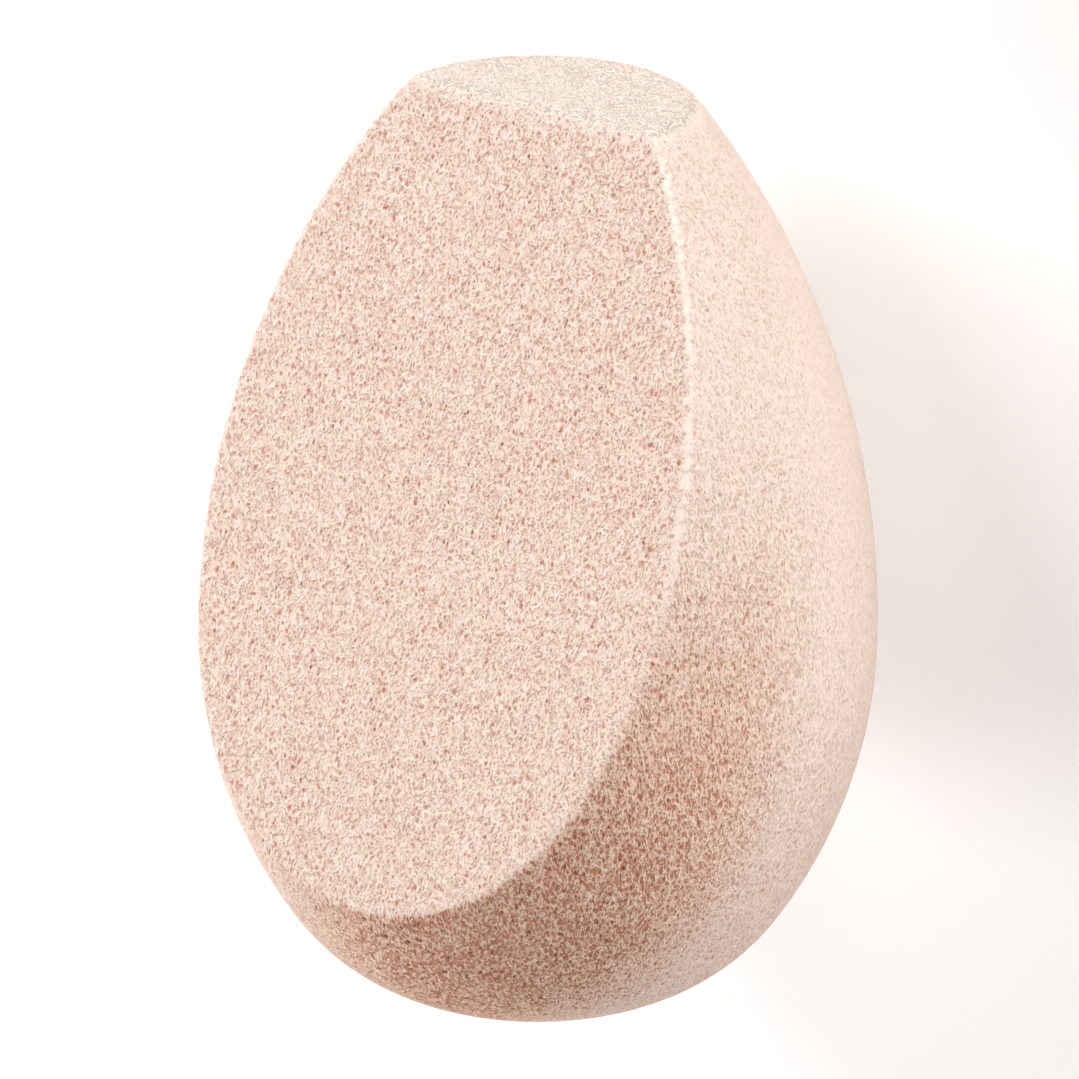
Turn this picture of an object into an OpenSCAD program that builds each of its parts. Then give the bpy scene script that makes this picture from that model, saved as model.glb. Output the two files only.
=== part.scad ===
// Makeup sponge: one egg of soft foam with a broad round bottom, a small flat tip
// and one large oval working face cut at a slant.
// It lies on its round back with the oval face up, and the soft back is pressed
// flat where it touches the table. X runs across it, Y along it towards the tip,
// and Z up. The origin is on the table, under the middle of its outline.

/* [Egg] */
// Length from the round bottom to the flat tip
body_h = 60; // [50:1:80]
// Widest diameter
body_d = 43; // [38:1:56]
// Height of the widest level above the bottom
waist_h = 25; // [20:0.5:32]

/* [Round bottom] */
// Radius of the heel, where the side turns into the bottom
heel_r = 14; // [9:0.5:16]
// Distance of the heel's centre from the egg's axis
heel_reach = 4.4; // [3:0.1:5]
// How far the blunt bottom bulges below the heel
base_bulge = 0.9; // [0.5:0.1:2]

/* [Tip] */
// Diameter of the flat tip, measured to its sharp corner
tip_d = 19.2; // [10:0.2:26]
// Rounding of the tip's edge
tip_edge_r = 1.5; // [0.5:0.1:3]

/* [Oval face] */
// Slant of the oval face against the egg's axis, in degrees
face_slant = 20; // [12:0.5:26]
// Distance from the axis at which the oval face meets the tip
face_gap = 1; // [0:0.1:4]

/* [Rest] */
// Rise of the tip end of the axis as the sponge lies on its back, in degrees
tip_rise = -3.5; // [-8:0.5:8]
// How deep the soft back gives way where it lies
back_give = 0.4; // [0.1:0.1:1.5]

/* [Hidden] */
$fn = 128;

waist_r = body_d / 2;
tip_r = tip_d / 2;
axis_foot = [0, 0];
axis_tip = [0, body_h];

// Bottom: an arc about the axis that runs on into the heel
base_r = heel_reach ^ 2 / (2 * base_bulge) + base_bulge / 2 + heel_r;
base_centre = [0, base_r];
heel_centre = [heel_reach, heel_r + base_bulge];

// Side below the waist: upright at the waist, and runs on into the heel
heel_in = waist_r - heel_reach;
heel_drop = waist_h - heel_centre.y;
low_r = (heel_in ^ 2 + heel_drop ^ 2 - heel_r ^ 2) / (2 * (heel_in - heel_r));
low_centre = [waist_r - low_r, waist_h];
waist = [waist_r, waist_h];

// Side above the waist: upright at the waist, and reaches the tip's sharp corner
tip_in = waist_r - tip_r;
tip_up = body_h - waist_h;
high_r = (tip_up ^ 2 + tip_in ^ 2) / (2 * tip_in);
high_centre = [waist_r - high_r, waist_h];

// Rounded edge of the tip
edge_up = tip_up - tip_edge_r;
edge_centre = [high_centre.x + sqrt((high_r - tip_edge_r) ^ 2 - edge_up ^ 2), body_h - tip_edge_r];
edge_top = [edge_centre.x, body_h];

// Points where one arc runs on into the next
base_to_heel = reach(base_centre, heel_centre, base_r);
heel_to_low = reach(low_centre, heel_centre, low_r);
high_to_edge = reach(high_centre, edge_centre, high_r);

// The sponge's lowest point, and its two ends along Y, as it lies
back_centre = tip_rise < 0 ? high_centre : low_centre;
back_r = tip_rise < 0 ? high_r : low_r;
back_z = -back_centre.x * cos(tip_rise) + back_centre.y * sin(tip_rise) - back_r;
table_z = back_z + back_give;
bottom_y = base_r * cos(tip_rise) - base_r;
tip_top_y = body_h * cos(tip_rise) - face_gap * sin(tip_rise);
tip_low_y = edge_centre.y * cos(tip_rise) + edge_centre.x * sin(tip_rise) + tip_edge_r;
middle_y = (bottom_y + max(tip_top_y, tip_low_y)) / 2;

// A block that clears the whole egg on the far side of a cut
block = 2 * (body_h + body_d);

// Point at a distance from one centre, in line with the other
function reach(from, to, length) = from + length * (to - from) / norm(to - from);

// The piece of a disc that stands proud of its chord from a to b
module bow(centre, r, a, b) {
    along = (b - a) / norm(b - a);
    out = [along.y, -along.x];
    intersection() {
        translate(centre) circle(r);
        polygon([a, b, b + r * out, a + r * out]);
    }
}

// Half outline of the egg, from its axis outwards
module half_outline() {
    polygon([axis_foot, base_to_heel, heel_to_low, waist, high_to_edge, edge_top, axis_tip]);
    bow(base_centre, base_r, axis_foot, base_to_heel);
    bow(heel_centre, heel_r, base_to_heel, heel_to_low);
    bow(low_centre, low_r, heel_to_low, waist);
    bow(high_centre, high_r, waist, high_to_edge);
    bow(edge_centre, tip_edge_r, high_to_edge, edge_top);
}

// The egg standing on its bottom, with the oval face cut on its front
module upright_body() {
    difference() {
        rotate_extrude() half_outline();
        translate([0, -face_gap, body_h]) rotate([-face_slant, 0, 0])
            translate([-block / 2, -block, -block / 2]) cube(block);
    }
}

// The egg laid on its back, and pressed flat there by the table
module foam_body() {
    color([0.96, 0.86, 0.79]) difference() {
        translate([0, -middle_y, -table_z]) rotate([tip_rise - 90, 0, 0]) upright_body();
        translate([-block / 2, -block / 2, -block]) cube(block);
    }
}

foam_body();
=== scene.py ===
import math

import bmesh
import bpy
from mathutils import Matrix, Vector


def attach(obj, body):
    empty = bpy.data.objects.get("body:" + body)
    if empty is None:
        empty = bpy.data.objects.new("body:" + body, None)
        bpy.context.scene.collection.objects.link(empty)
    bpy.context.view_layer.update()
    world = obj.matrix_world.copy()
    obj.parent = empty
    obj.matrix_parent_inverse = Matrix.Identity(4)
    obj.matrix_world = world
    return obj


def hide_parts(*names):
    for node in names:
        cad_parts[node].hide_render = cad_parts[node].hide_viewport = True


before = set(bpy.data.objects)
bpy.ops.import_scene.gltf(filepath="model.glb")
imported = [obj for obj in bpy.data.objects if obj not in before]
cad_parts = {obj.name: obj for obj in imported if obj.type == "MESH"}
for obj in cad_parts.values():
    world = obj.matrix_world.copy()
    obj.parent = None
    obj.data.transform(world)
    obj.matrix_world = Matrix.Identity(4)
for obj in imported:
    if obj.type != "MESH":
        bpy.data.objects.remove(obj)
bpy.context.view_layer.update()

# The view: a long lens looks down on the sponge from its right and a little from its tip,
# with the egg's axis upright in the picture.
VIEW_AWAY = 0.613                     # from the lens to the egg's axis
VIEW_ROUND = math.radians(38.0)       # turn about the egg's axis, from the oval face to the right
VIEW_TIPWARD = math.radians(20.9)     # how far the view leans towards the tip
VIEW_ROLL = math.radians(0.38)
VIEW_WIDTH = 0.06801                  # what the square picture takes in at the axis
AXIS_RISE = math.radians(-3.5)        # rise of the axis towards the tip, as the sponge lies
AIM_HEIGHT = 0.02086                  # of the egg's axis above the table, half way along it
AIM_RIGHT, AIM_UP = 0.00008, 0.00079  # of the picture's middle from that point
SENSOR_WIDTH = 36                     # millimetres
CLIP_NEAR, CLIP_FAR = 0.05, 5

axis = Vector((0, math.cos(AXIS_RISE), math.sin(AXIS_RISE)))
face_up = Vector((0, -math.sin(AXIS_RISE), math.cos(AXIS_RISE)))
rightward = Vector((1, 0, 0))
round_egg = math.cos(VIEW_ROUND) * face_up + math.sin(VIEW_ROUND) * rightward
to_lens = math.cos(VIEW_TIPWARD) * round_egg + math.sin(VIEW_TIPWARD) * axis
upright = (axis - axis.dot(to_lens) * to_lens).normalized()
level = upright.cross(to_lens)
picture_right = math.cos(VIEW_ROLL) * level + math.sin(VIEW_ROLL) * upright
picture_up = math.cos(VIEW_ROLL) * upright - math.sin(VIEW_ROLL) * level
aim = Vector((0, 0, AIM_HEIGHT)) + AIM_RIGHT * picture_right + AIM_UP * picture_up

lens = bpy.data.cameras.new("view")
lens.sensor_width = SENSOR_WIDTH
lens.lens = SENSOR_WIDTH * VIEW_AWAY / VIEW_WIDTH
lens.clip_start, lens.clip_end = CLIP_NEAR, CLIP_FAR
camera = bpy.data.objects.new("view", lens)
camera.matrix_world = Matrix.Translation(aim + VIEW_AWAY * to_lens) @ Matrix(
    (picture_right, picture_up, to_lens)
).transposed().to_4x4()
bpy.context.scene.collection.objects.link(camera)
bpy.context.scene.camera = camera

# The sponge: one moulded egg of soft open-cell foam, with its oval face cut by a hot wire,
# so that its pores lie open on the surface and the cut's edge is a little rounded.
# It is a single piece, and lies loose on its back.
MM = 1000                     # the foam is laid out in millimetres
SKIN_VOXEL = 0.0004           # the smooth skin is rebuilt at this, and then divided
SKIN_DIVISIONS = 2
SOFTENING = (0.5, 1)          # strength of a pass that rounds the cut's edge, and the passes
CUT_BEND = math.radians(25)   # the CAD skin bends by more than this only at the cut's edge
WELD = 1e-6                   # corners closer than this are one


def rebuilt_skin():
    """The foam's smooth outer skin, as fine as its pores need."""
    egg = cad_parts["foam_body"].copy()
    egg.data = egg.data.copy()
    bpy.context.scene.collection.objects.link(egg)
    remesh = egg.modifiers.new("remesh", "REMESH")
    remesh.mode = "VOXEL"
    remesh.voxel_size = SKIN_VOXEL
    soften = egg.modifiers.new("soften", "SMOOTH")
    soften.factor, soften.iterations = SOFTENING
    divide = egg.modifiers.new("divide", "SUBSURF")
    divide.levels = divide.render_levels = SKIN_DIVISIONS
    skin = bpy.data.meshes.new_from_object(
        egg.evaluated_get(bpy.context.evaluated_depsgraph_get())
    )
    bpy.data.objects.remove(egg)
    return skin


def cut_edges():
    """The CAD edges where the cut meets the moulded side and the tip, as loose wires."""
    form = bmesh.new()
    form.from_mesh(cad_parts["foam_body"].data)
    bmesh.ops.remove_doubles(form, verts=form.verts, dist=WELD)
    sharp = [e for e in form.edges if len(e.link_faces) == 2 and e.calc_face_angle(0) > CUT_BEND]
    ends = [v.co.copy() for e in sharp for v in e.verts]
    wires = bpy.data.meshes.new("cut_edges")
    wires.from_pydata(ends, [(2 * k, 2 * k + 1) for k in range(len(sharp))], [])
    form.free()
    return wires


def feed(tree, socket, value):
    """Links a value's socket, or sets a plain number."""
    if isinstance(value, (int, float)):
        socket.default_value = value
    else:
        tree.links.new(value, socket)


def math_node(tree, operation, *values):
    """A Math node with sockets or plain numbers as its inputs."""
    node = tree.nodes.new("ShaderNodeMath")
    node.operation = operation
    for socket, value in zip(node.inputs, values):
        feed(tree, socket, value)
    return node.outputs[0]


def product(tree, first, *others):
    """The values multiplied one after the other."""
    for value in others:
        first = math_node(tree, "MULTIPLY", first, value)
    return first


def ramp(tree, value, start, stop, low=0.0, high=1.0):
    """A smooth step from low at start to high at stop."""
    node = tree.nodes.new("ShaderNodeMapRange")
    node.interpolation_type = "SMOOTHSTEP"
    for name, given in (("Value", value), ("From Min", start), ("From Max", stop),
                        ("To Min", low), ("To Max", high)):
        feed(tree, node.inputs[name], given)
    return node.outputs["Result"]


def vector_node(tree, operation, place, other):
    """A Vector Math node on a place and a plain vector."""
    node = tree.nodes.new("ShaderNodeVectorMath")
    node.operation = operation
    tree.links.new(place, node.inputs[0])
    node.inputs[1].default_value = other
    return node


def along(tree, place, direction):
    """How far a place lies along a direction, in millimetres."""
    return vector_node(tree, "DOT_PRODUCT", place, MM * direction).outputs["Value"]


def stretched(tree, place, stretch):
    """A place in millimetres, in which cells come out longer where stretch is less than 1."""
    return vector_node(tree, "MULTIPLY", place, [MM * share for share in stretch]).outputs[0]


# How open the cells are at a place: 1 on the cut, less where the moulded skin closed over them,
# and more where it tore open. The more open, the darker and redder the foam is painted: most
# towards the heel and just under the cut on the right, less towards the back and the left.
# That is partly those open cells, and partly painted shade on the side that lies in shade.
# A row's first two numbers are where a change begins and ends, in millimetres. Its last two,
# if there are any, are the values before and after it.
FACE_SLANT = math.radians(20)        # of the oval face against the egg's axis
SKIN_STARTS = (0.03, 0.25)           # below the cut, where the moulded skin takes over
SKIN_BY_TIP = (14, 54, 0.5, 2.2)     # opens, and is painted darker, from the tip to the heel
SKIN_BELOW = (5, 15, 1.0, 0.35)      # and closes, and is painted paler, from just under the cut to the back
SKIN_LEFTWARD = (6, -8, 1.0, 0.4)    # and from the right to the left
TIP_STARTS = (0.4, 0.1)              # from the tip, where its own skin takes over
TIP_OPEN = 1.2                       # how open the cells are there
CUT_TO_OPEN = (1.0, 1.9)             # openness of the cut, and of skin that counts as fully open

# The cut's edge is bare of cells and a little ragged, where the wire left the foam.
# Along the upper right it is also painted pale: partly bare foam, partly a painted highlight
# where the ridge catches the light.
EDGE_CELLED, EDGE_BARE = 0.44, 0.14  # from the edge: all its cells beyond, and bare foam within
RAG_WIDTH = 0.5
RAG_NOISE, RAG_SHIFT = (0.3, 0.7), (-0.16, 0.18)  # how far its noise moves those two
BARE_BEGINS = (0.3, 1.2)             # from the tip
BARE_ENDS = (18, 32, 0.85, 0.12)     # from the tip, with how bare it is
BARE_RIGHTWARD = (-6, 6)             # only the right edge is bare, and painted with a highlight

# The largest openings are round pores of many sizes, pressed into the mesh itself.
PORE_STRETCH = (1.0, 0.70, 1.0)      # the foam rose along the egg, so they are a little long
PORE_SPACING = 0.40
PORE_SMALLEST, PORE_LARGEST = 0.20, 0.56  # radius, as a share of the spacing
PORE_BOTTOM = 0.3                    # share of its radius that is a pore's flat bottom
PORE_FAINTEST = 0.3                  # depth of the faintest, as a share of the deepest
PORE_FAINT = 1.3                     # the higher, the fewer the deep ones
PORE_DEPTH = 0.15
PORE_PRESSED = (0.5, 1.0)            # share of that depth, on the cut and on the open skin
PORE_TINTED = (1.0, 0.9)             # share of its colour, on the cut and on the open skin
TIP_PORES = 0.1                      # share of both that is left on the tip
PATCH_WIDTH = 1.6                    # of the patches where pores are larger or smaller
PATCH_NOISE, PATCH_SIZES = (0.35, 0.65), (0.75, 1.05)  # share of their size, by its noise
SKIN_SIZES = (0.3, 1.9, 0.8, 1.2)    # and by the openness, from the first to the second


def packed(tree, place, spacing):
    """Cells packed side by side: the distance from their middles, and two chances for each."""
    voronoi = tree.nodes.new("ShaderNodeTexVoronoi")
    voronoi.inputs["Scale"].default_value = 1 / spacing
    tree.links.new(place, voronoi.inputs["Vector"])
    split = tree.nodes.new("ShaderNodeSeparateXYZ")
    tree.links.new(voronoi.outputs["Color"], split.inputs[0])
    return voronoi.outputs["Distance"], split.outputs["X"], split.outputs["Y"]


def pore_mask(tree, foam_place, openness_and_shade):
    """Round pores: 1 at the bottom of the deepest, and 0 outside."""
    place = stretched(tree, foam_place, PORE_STRETCH)
    away, size, strength = packed(tree, place, PORE_SPACING)
    patches = tree.nodes.new("ShaderNodeTexNoise")
    patches.inputs["Scale"].default_value = 1 / PATCH_WIDTH
    patches.inputs["Detail"].default_value = 1
    tree.links.new(place, patches.inputs["Vector"])
    size = product(
        tree, size,
        ramp(tree, patches.outputs[0], *PATCH_NOISE, *PATCH_SIZES),
        ramp(tree, openness_and_shade, *SKIN_SIZES)
    )
    radius = math_node(tree, "MULTIPLY_ADD", size, PORE_LARGEST - PORE_SMALLEST, PORE_SMALLEST)
    hole = ramp(tree, away, radius, product(tree, radius, PORE_BOTTOM))
    strength = math_node(tree, "POWER", strength, PORE_FAINT)
    strength = math_node(tree, "MULTIPLY_ADD", strength, 1 - PORE_FAINTEST, PORE_FAINTEST)
    return product(tree, hole, strength)


def opened_cells():
    """Geometry nodes that keep each place's distances and openness, and press the pores in."""
    tree = bpy.data.node_groups.new("open_cells", "GeometryNodeTree")
    tree.interface.new_socket("Geometry", in_out="INPUT", socket_type="NodeSocketGeometry")
    tree.interface.new_socket("Geometry", in_out="OUTPUT", socket_type="NodeSocketGeometry")
    add, link = tree.nodes.new, tree.links.new
    start, end = add("NodeGroupInput"), add("NodeGroupOutput")
    position = add("GeometryNodeInputPosition").outputs[0]
    normal = add("GeometryNodeInputNormal").outputs[0]
    from_tip = math_node(tree, "SUBTRACT", tip_reach, along(tree, position, axis))
    below_cut = math_node(tree, "SUBTRACT", face_reach, along(tree, position, face_out))
    from_middle = along(tree, position, rightward)

    wires = add("GeometryNodeObjectInfo")
    wires.inputs["Object"].default_value = cut_wires
    near = add("GeometryNodeProximity")
    near.target_element = "EDGES"
    link(wires.outputs["Geometry"], near.inputs[0])
    rags = add("ShaderNodeTexNoise")
    rags.inputs["Scale"].default_value = MM / RAG_WIDTH
    link(position, rags.inputs["Vector"])
    from_edge = product(tree, near.outputs["Distance"], MM)
    shift = ramp(tree, rags.outputs[0], *RAG_NOISE, *RAG_SHIFT)
    from_edge = math_node(tree, "ADD", from_edge, shift)
    # The bare edge, painted pale on the upper right: partly bare foam, partly a painted highlight.
    bare_and_lit = product(
        tree, ramp(tree, from_edge, EDGE_CELLED, EDGE_BARE),
        ramp(tree, from_tip, *BARE_BEGINS),
        ramp(tree, from_tip, *BARE_ENDS),
        ramp(tree, from_middle, *BARE_RIGHTWARD)
    )

    # The openness also paints the skin darker and redder: partly open cells, partly painted shade.
    skin = product(
        tree, ramp(tree, from_tip, *SKIN_BY_TIP),
        ramp(tree, below_cut, *SKIN_BELOW),
        ramp(tree, from_middle, *SKIN_LEFTWARD)
    )
    skin = ramp(tree, from_tip, *TIP_STARTS, skin, TIP_OPEN)
    openness_and_shade = ramp(tree, below_cut, *SKIN_STARTS, 1.0, skin)

    last = start.outputs[0]
    for name, kind, value in (
        ("foam_place", "FLOAT_VECTOR", position),
        ("bare_and_lit", "FLOAT", bare_and_lit),
        ("from_tip", "FLOAT", from_tip),
        ("below_cut", "FLOAT", below_cut),
        ("openness_and_shade", "FLOAT", openness_and_shade),
    ):
        keep = add("GeometryNodeStoreNamedAttribute")
        keep.data_type, keep.domain = kind, "POINT"
        keep.inputs["Name"].default_value = name
        link(last, keep.inputs["Geometry"])
        link(value, keep.inputs["Value"])
        last = keep.outputs[0]

    pressed = product(
        tree, math_node(tree, "SUBTRACT", 1.0, bare_and_lit),
        ramp(tree, openness_and_shade, *CUT_TO_OPEN, *PORE_PRESSED),
        ramp(tree, from_tip, *TIP_STARTS, 1.0, TIP_PORES)
    )
    pressed = product(tree, pore_mask(tree, position, openness_and_shade), pressed, -PORE_DEPTH / MM)
    inward = add("ShaderNodeVectorMath")
    inward.operation = "SCALE"
    link(normal, inward.inputs[0])
    link(pressed, inward.inputs["Scale"])
    press = add("GeometryNodeSetPosition")
    link(last, press.inputs["Geometry"])
    link(inward.outputs[0], press.inputs["Offset"])
    link(press.outputs[0], end.inputs[0])
    return tree


face_out = math.cos(FACE_SLANT) * face_up + math.sin(FACE_SLANT) * axis
corners = [v.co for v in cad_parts["foam_body"].data.vertices]
face_reach = MM * max(c.dot(face_out) for c in corners)
tip_reach = MM * max(c.dot(axis) for c in corners)
cut_wires = bpy.data.objects.new("cut_wires", cut_edges())
bpy.context.scene.collection.objects.link(cut_wires)
blank = bpy.data.objects.new("blank", rebuilt_skin())
bpy.context.scene.collection.objects.link(blank)
blank.modifiers.new("cells", "NODES").node_group = opened_cells()
sponge = bpy.data.objects.new("foam_sponge", bpy.data.meshes.new_from_object(
    blank.evaluated_get(bpy.context.evaluated_depsgraph_get())
))
bpy.context.scene.collection.objects.link(sponge)
bpy.data.objects.remove(blank)
bpy.data.objects.remove(cut_wires)
sponge.data.materials.clear()

# The foam is dyed through, pale on its struts. Its cells, pores and specks are painted deeper and
# redder down inside: partly the foam's own colour, partly painted shade in these hollows.
# Two sizes of cell lie between the pores, too fine for the mesh.
CELL_STRETCH = (1.0, 0.52, 1.0)      # the foam rose along the egg, so they are long
CELL_SPACING, CELL_DEPTH = 0.21, 0.05
GRAIN_SPACING, GRAIN_DEPTH = 0.105, 0.085  # the finest cells
CELL_RIM = 0.8                       # from a cell's middle, as a share of the spacing
CELL_BOTTOM = (0.12, 0.3)            # so too, on the cut and on the open skin
GRAIN_BOTTOM = 0.12
CELL_SHALLOWEST, CELL_RANGE = 0.15, 0.9  # share of the depth, and the most that chance adds
SKIN_RELIEF, TIP_RELIEF = 1.1, 2.1   # depth of the cells there, as a share of the cut's
CLOSED_RELIEF = (0.3, 1.0, 0.7, 1.0)  # and as the openness goes from the first to the second
SPECK_RIM, SPECK_BOTTOM = 0.55, 0.2  # of a cell that is open deep into the foam
SPECK_SHARE = (0.005, 0.015)         # of the cells, on the cut and on the open skin
STRUT_COLOUR = (1.0, 0.855, 0.755, 1)
SKIN_SHADE_COLOUR = (1.0, 0.77, 0.63, 1)   # of the struts on the open skin: partly their own colour, partly painted warm shade
SKIN_TINTED = (0.5, 1.5)             # the openness over which they take that colour
CELL_SHADE_COLOUR = (0.64, 0.29, 0.18, 1)  # at the bottom of a cell: partly the foam's colour, partly painted shade
CELL_SHARE, GRAIN_SHARE = 0.60, 0.55  # how far each size of cell shows that colour
PORE_SHADE_COLOUR = (0.68, 0.29, 0.18, 1)  # on the cut: partly the foam's colour, partly painted shade in the pore
DEEP_PORE_SHADE_COLOUR = (0.60, 0.24, 0.15, 1)  # on the open skin: partly the foam's colour, partly painted shade in the pore
# The darkest specks, down cells open deep into the foam: partly the foam's colour, partly painted
# shadow.
SPECK_SHADE_COLOUR = (0.38, 0.16, 0.10, 1)
PALE_AND_LIT_COLOUR = (1.0, 0.885, 0.785, 1)  # of the tip and of the cut's bare edge: paler, partly their own colour, partly painted light
EDGE_PALES = 0.8                     # share of the cells' colour that is lost there
TIP_BORDER = (1.3, 0.1)              # from the tip, where that paler colour comes in
FOAM_ROUGHNESS, FOAM_GLOSS = 0.95, 0.2


def stored(tree, name, output="Fac"):
    """What the geometry nodes kept at each place under a name."""
    node = tree.nodes.new("ShaderNodeAttribute")
    node.attribute_name = name
    return node.outputs[output]


def tinted(tree, share, under, over):
    """A colour that turns from under to over with share. Either is plain or a tint itself."""
    mix = tree.nodes.new("ShaderNodeMix")
    mix.data_type = "RGBA"
    tree.links.new(share, mix.inputs["Factor"])
    for socket, colour in ((mix.inputs["A"], under), (mix.inputs["B"], over)):
        if isinstance(colour, tuple):
            socket.default_value = colour
        else:
            tree.links.new(colour, socket)
    return mix.outputs["Result"]


foam = bpy.data.materials.new("peach_foam")
foam.use_nodes = True
tree = foam.node_tree
shader = tree.nodes["Principled BSDF"]
shader.inputs["Roughness"].default_value = FOAM_ROUGHNESS
shader.inputs["Specular IOR Level"].default_value = FOAM_GLOSS
foam_place = stored(tree, "foam_place", "Vector")
bare_and_lit = stored(tree, "bare_and_lit")
from_tip = stored(tree, "from_tip")
below_cut = stored(tree, "below_cut")
openness_and_shade = stored(tree, "openness_and_shade")

place = stretched(tree, foam_place, CELL_STRETCH)
middle, size, chance = packed(tree, place, CELL_SPACING)
cell_bottom = ramp(tree, openness_and_shade, *CUT_TO_OPEN, *CELL_BOTTOM)
cell_strength = math_node(tree, "MULTIPLY_ADD", size, CELL_RANGE, CELL_SHALLOWEST)
cell = product(tree, ramp(tree, middle, CELL_RIM, cell_bottom), cell_strength)
speck_chance = ramp(tree, openness_and_shade, *CUT_TO_OPEN, *(1 - share for share in SPECK_SHARE))
is_speck = math_node(tree, "GREATER_THAN", chance, speck_chance)
speck = product(tree, ramp(tree, middle, SPECK_RIM, SPECK_BOTTOM), is_speck)
middle, size, _ = packed(tree, place, GRAIN_SPACING)
grain = product(tree, ramp(tree, middle, CELL_RIM, GRAIN_BOTTOM), size)
pore = pore_mask(tree, foam_place, openness_and_shade)

celled = math_node(tree, "SUBTRACT", 1.0, bare_and_lit)
cells_show = product(tree, celled, openness_and_shade)
pores_show = product(
    tree, celled, math_node(tree, "MINIMUM", 1.0, openness_and_shade),
    ramp(tree, openness_and_shade, *CUT_TO_OPEN, *PORE_TINTED),
    ramp(tree, from_tip, *TIP_STARTS, 1.0, TIP_PORES)
)
# Painted light: the tip and the upper right edge turn paler, partly their own creamier colour.
pale_and_lit = math_node(tree, "MAXIMUM", ramp(tree, from_tip, *TIP_BORDER), bare_and_lit)
hollow_shade = math_node(tree, "MULTIPLY_ADD", grain, GRAIN_SHARE, product(tree, cell, CELL_SHARE))
hollow_shade = product(tree, hollow_shade, math_node(tree, "MULTIPLY_ADD", pale_and_lit, -EDGE_PALES, 1.0))
# Painted shade: the struts on the open skin turn warmer, towards the heel and under the cut on the
# right.
open_skin_shade = product(tree, ramp(tree, openness_and_shade, *SKIN_TINTED), ramp(tree, below_cut, *SKIN_STARTS))
fully_open = ramp(tree, openness_and_shade, *CUT_TO_OPEN)
colour = tinted(tree, open_skin_shade, STRUT_COLOUR, SKIN_SHADE_COLOUR)
colour = tinted(tree, pale_and_lit, colour, PALE_AND_LIT_COLOUR)
# Painted shade: the cells', pores' and specks' darker, redder colours laid over the struts'
# colour.
for share, there, over in (
    (hollow_shade, cells_show, CELL_SHADE_COLOUR),
    (pore, pores_show, tinted(tree, fully_open, PORE_SHADE_COLOUR, DEEP_PORE_SHADE_COLOUR)),
    (speck, pores_show, SPECK_SHADE_COLOUR),
):
    colour = tinted(tree, product(tree, share, there), colour, over)
tree.links.new(colour, shader.inputs["Base Color"])

relief = math_node(tree, "MULTIPLY_ADD", grain, -GRAIN_DEPTH, product(tree, cell, -CELL_DEPTH))
depth = product(tree, celled, ramp(tree, openness_and_shade, *CLOSED_RELIEF))
skin_depth = ramp(tree, below_cut, *SKIN_STARTS, 1.0, SKIN_RELIEF)
skin_depth = ramp(tree, from_tip, *TIP_STARTS, skin_depth, TIP_RELIEF)
bump = tree.nodes.new("ShaderNodeBump")
bump.inputs["Strength"].default_value = 1
bump.inputs["Distance"].default_value = 1 / MM
tree.links.new(product(tree, relief, depth, skin_depth), bump.inputs["Height"])
tree.links.new(bump.outputs["Normal"], shader.inputs["Normal"])
sponge.data.materials.append(foam)
sponge.data.shade_smooth()

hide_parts("foam_body")
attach(sponge, "root")

# The floor: a plain pale matt table top, of which one stretch is made.
# The lens sees it white, and it keeps the sponge's shadow.
FLOOR_HALF = 0.6
FLOOR_COLOUR, FLOOR_ROUGHNESS = (0.8, 0.8, 0.8, 1), 0.9
LIFT_COLOUR, FLOOR_LIFT = (1, 1, 1, 1), 0.4  # added where it is seen, and not where it gives light
floor_mesh = bpy.data.meshes.new("floor")
floor_mesh.from_pydata(
    [(-FLOOR_HALF, -FLOOR_HALF, 0), (FLOOR_HALF, -FLOOR_HALF, 0),
     (FLOOR_HALF, FLOOR_HALF, 0), (-FLOOR_HALF, FLOOR_HALF, 0)], [], [(0, 1, 2, 3)]
)
floor = bpy.data.objects.new("floor", floor_mesh)
bpy.context.scene.collection.objects.link(floor)
pale = bpy.data.materials.new("pale_floor")
pale.use_nodes = True
tree = pale.node_tree
shader = tree.nodes["Principled BSDF"]
shader.inputs["Base Color"].default_value = FLOOR_COLOUR
shader.inputs["Roughness"].default_value = FLOOR_ROUGHNESS
shader.inputs["Emission Color"].default_value = LIFT_COLOUR
rays = tree.nodes.new("ShaderNodeLightPath")
seen = math_node(tree, "MAXIMUM", rays.outputs["Is Camera Ray"], rays.outputs["Is Glossy Ray"])
seen = math_node(tree, "MAXIMUM", seen, rays.outputs["Is Transmission Ray"])
tree.links.new(product(tree, seen, FLOOR_LIFT), shader.inputs["Emission Strength"])
floor_mesh.materials.append(pale)

# The light: four soft lamps round the table, so placed that no side gets much more light
# than the oval face, and a weak warm fill for what the foam's own walls throw into its shade.
LAMP_AWAY, LAMP_SIZE = 0.9, 0.5
FILL_COLOUR, FILL_STRENGTH = (1, 0.60, 0.45, 1), 0.08
# Each lamp's watts, and the way to it in the picture: to the right, up and towards the lens
for name, watts, way in (
    ("over", 5.4, (-0.76, 0.48, 0.43)),
    ("tipward", 7.1, (0.31, 0.65, 0.69)),
    ("heelward", 5.0, (0.64, -0.68, 0.36)),
    ("left", 6.8, (-0.86, -0.38, -0.33)),
):
    toward = way[0] * picture_right + way[1] * picture_up + way[2] * to_lens
    lamp = bpy.data.objects.new(name, bpy.data.lights.new(name, "AREA"))
    lamp.data.energy = watts
    lamp.data.size = LAMP_SIZE
    lamp.location = aim + LAMP_AWAY * toward.normalized()
    lamp.rotation_euler = toward.to_track_quat("Z", "Y").to_euler()
    lamp.visible_camera = False
    bpy.context.scene.collection.objects.link(lamp)
world = bpy.data.worlds.new("studio")
world.use_nodes = True
world.node_tree.nodes["Background"].inputs["Color"].default_value = FILL_COLOUR
world.node_tree.nodes["Background"].inputs["Strength"].default_value = FILL_STRENGTH
bpy.context.scene.world = world

bpy.context.scene.view_settings.view_transform = "Standard"
